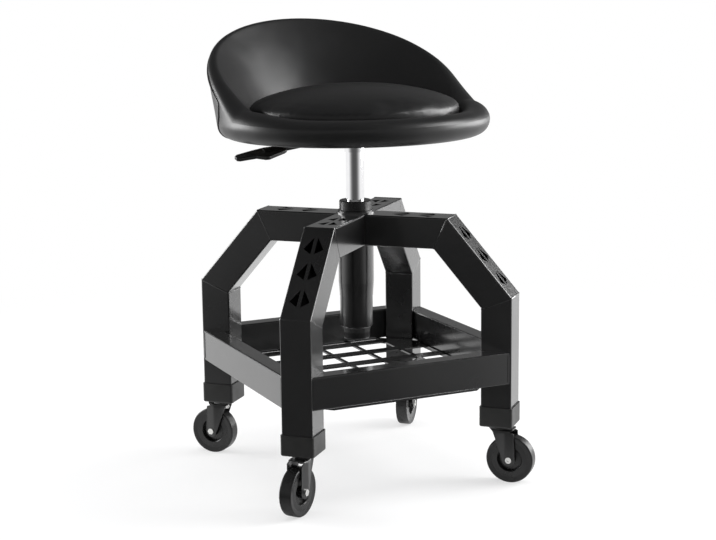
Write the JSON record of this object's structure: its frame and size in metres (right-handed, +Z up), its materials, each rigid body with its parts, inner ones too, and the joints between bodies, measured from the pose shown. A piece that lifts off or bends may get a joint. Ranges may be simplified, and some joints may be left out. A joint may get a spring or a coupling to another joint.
{
  "type": "creeper seat",
  "caption": "Round padded workshop stool with a low wraparound backrest, gas lift, square-tube legs, perforated tool tray and swivel casters.",
  "frame": {"origin": "on the floor under the middle of the overall box", "axes": "+Z up, -Y towards the front, where the sitter's legs go; the backrest is on +Y; +X to the right seen from the front"},
  "size_m": [0.421, 0.4449, 0.6931],
  "materials": {
    "frame_black": "satin black powder coat",
    "cap_black": "moulded black plastic",
    "fork_black": "gloss black",
    "zinc": "bright zinc",
    "wheel_core": "moulded black plastic",
    "tyre": "black rubber tread",
    "column_black": "black lacquered tube",
    "collar": "black plastic",
    "chrome": "polished chrome",
    "bearing_steel": "ground steel",
    "bush": "natural plastic bush",
    "plate_black": "black lacquered plate",
    "grip": "black plastic",
    "board": "plywood",
    "upholstery": "smooth black synthetic leather"
  },
  "bodies": {
    "base": {"leg_front_left": "frame_black", "leg_cap_front_left": "cap_black", "caster_stem_front_left": "fork_black", "leg_front_right": "frame_black", "leg_cap_front_right": "cap_black", "caster_stem_front_right": "fork_black", "leg_back_left": "frame_black", "leg_cap_back_left": "cap_black", "caster_stem_back_left": "fork_black", "leg_back_right": "frame_black", "leg_cap_back_right": "cap_black", "caster_stem_back_right": "fork_black", "tray_rail_front": "frame_black", "tray_rail_right": "frame_black", "tray_rail_back": "frame_black", "tray_rail_left": "frame_black", "tray_pan": "frame_black", "rail_tabs": "frame_black", "hub_sleeve": "frame_black", "hub_washer": "frame_black", "column_tube": "column_black", "guide_bush": "bush", "column_collar": "collar", "bearing_race_lower": "bearing_steel", "bearing_balls": "bearing_steel"},
    "spindle": {"piston_rod": "chrome", "piston_head": "bearing_steel", "retaining_clip": "bearing_steel", "bearing_race_upper": "bearing_steel"},
    "seat": {"tube_plug": "bearing_steel", "pressure_tube": "chrome", "top_ring": "chrome", "seat_plate": "plate_black", "plate_hub": "plate_black", "lever_pin": "bearing_steel", "seat_bolts": "zinc", "seat_board": "board", "seat_rim": "upholstery", "seat_pad": "upholstery", "backrest": "upholstery", "back_panel": "upholstery"},
    "valve": {"valve_pin": "bearing_steel"},
    "lever": {"lever_arm": "plate_black", "lever_grip": "grip"},
    "fork_front_left": {"caster_fork_front_left": "fork_black", "caster_axle_front_left": "zinc"},
    "wheel_front_left": {"caster_wheel_front_left": "wheel_core", "caster_tyre_front_left": "tyre"},
    "fork_front_right": {"caster_fork_front_right": "fork_black", "caster_axle_front_right": "zinc"},
    "wheel_front_right": {"caster_wheel_front_right": "wheel_core", "caster_tyre_front_right": "tyre"},
    "fork_back_left": {"caster_fork_back_left": "fork_black", "caster_axle_back_left": "zinc"},
    "wheel_back_left": {"caster_wheel_back_left": "wheel_core", "caster_tyre_back_left": "tyre"},
    "fork_back_right": {"caster_fork_back_right": "fork_black", "caster_axle_back_right": "zinc"},
    "wheel_back_right": {"caster_wheel_back_right": "wheel_core", "caster_tyre_back_right": "tyre"}
  },
  "joints": [
    {"name": "swivel_front_left", "type": "hinge", "parent": "base", "child": "fork_front_left", "pos_m": [-0.16267, -0.17727, 0.082], "axis": [0, 0, 1], "continuous": true},
    {"name": "spin_front_left", "type": "hinge", "parent": "fork_front_left", "child": "wheel_front_left", "pos_m": [-0.17723, -0.18785, 0.0365], "axis": [0.5878, -0.809, 0], "continuous": true},
    {"name": "swivel_front_right", "type": "hinge", "parent": "base", "child": "fork_front_right", "pos_m": [0.16267, -0.17727, 0.082], "axis": [0, 0, 1], "continuous": true},
    {"name": "spin_front_right", "type": "hinge", "parent": "fork_front_right", "child": "wheel_front_right", "pos_m": [0.17517, -0.19022, 0.0365], "axis": [0.7193, 0.6947, 0], "continuous": true},
    {"name": "swivel_back_left", "type": "hinge", "parent": "base", "child": "fork_back_left", "pos_m": [-0.16267, 0.14807, 0.082], "axis": [0, 0, 1], "continuous": true},
    {"name": "spin_back_left", "type": "hinge", "parent": "fork_back_left", "child": "wheel_back_left", "pos_m": [-0.17448, 0.16165, 0.0365], "axis": [-0.7547, -0.6561, 0], "continuous": true},
    {"name": "swivel_back_right", "type": "hinge", "parent": "base", "child": "fork_back_right", "pos_m": [0.16267, 0.14807, 0.082], "axis": [0, 0, 1], "continuous": true},
    {"name": "spin_back_right", "type": "hinge", "parent": "fork_back_right", "child": "wheel_back_right", "pos_m": [0.17471, 0.16145, 0.0365], "axis": [-0.7431, 0.6691, 0], "continuous": true},
    {"name": "seat_swivel", "type": "hinge", "parent": "base", "child": "spindle", "pos_m": [0, -0.0146, 0.217], "axis": [0, 0, 1], "continuous": true},
    {"name": "gas_lift", "type": "slide", "parent": "spindle", "child": "seat", "axis": [0, 0, 1], "range_m": [-0.07, 0], "stiffness_N_per_m": 100, "springref_m": 3.5},
    {"name": "lever_lift", "type": "hinge", "parent": "seat", "child": "lever", "pos_m": [-0.03, -0.0146, 0.5145], "axis": [0, 1, 0], "range_deg": [0, 5], "stiffness_Nm_per_rad": 1, "springref_deg": -22.92},
    {"name": "valve_press", "type": "slide", "parent": "seat", "child": "valve", "axis": [0, 0, 1], "range_m": [-0.0028, 0]}
  ],
  "couplings": [
    {"joint": "valve_press", "follows": "lever_lift", "m_per_rad": -0.0305}
  ]
}
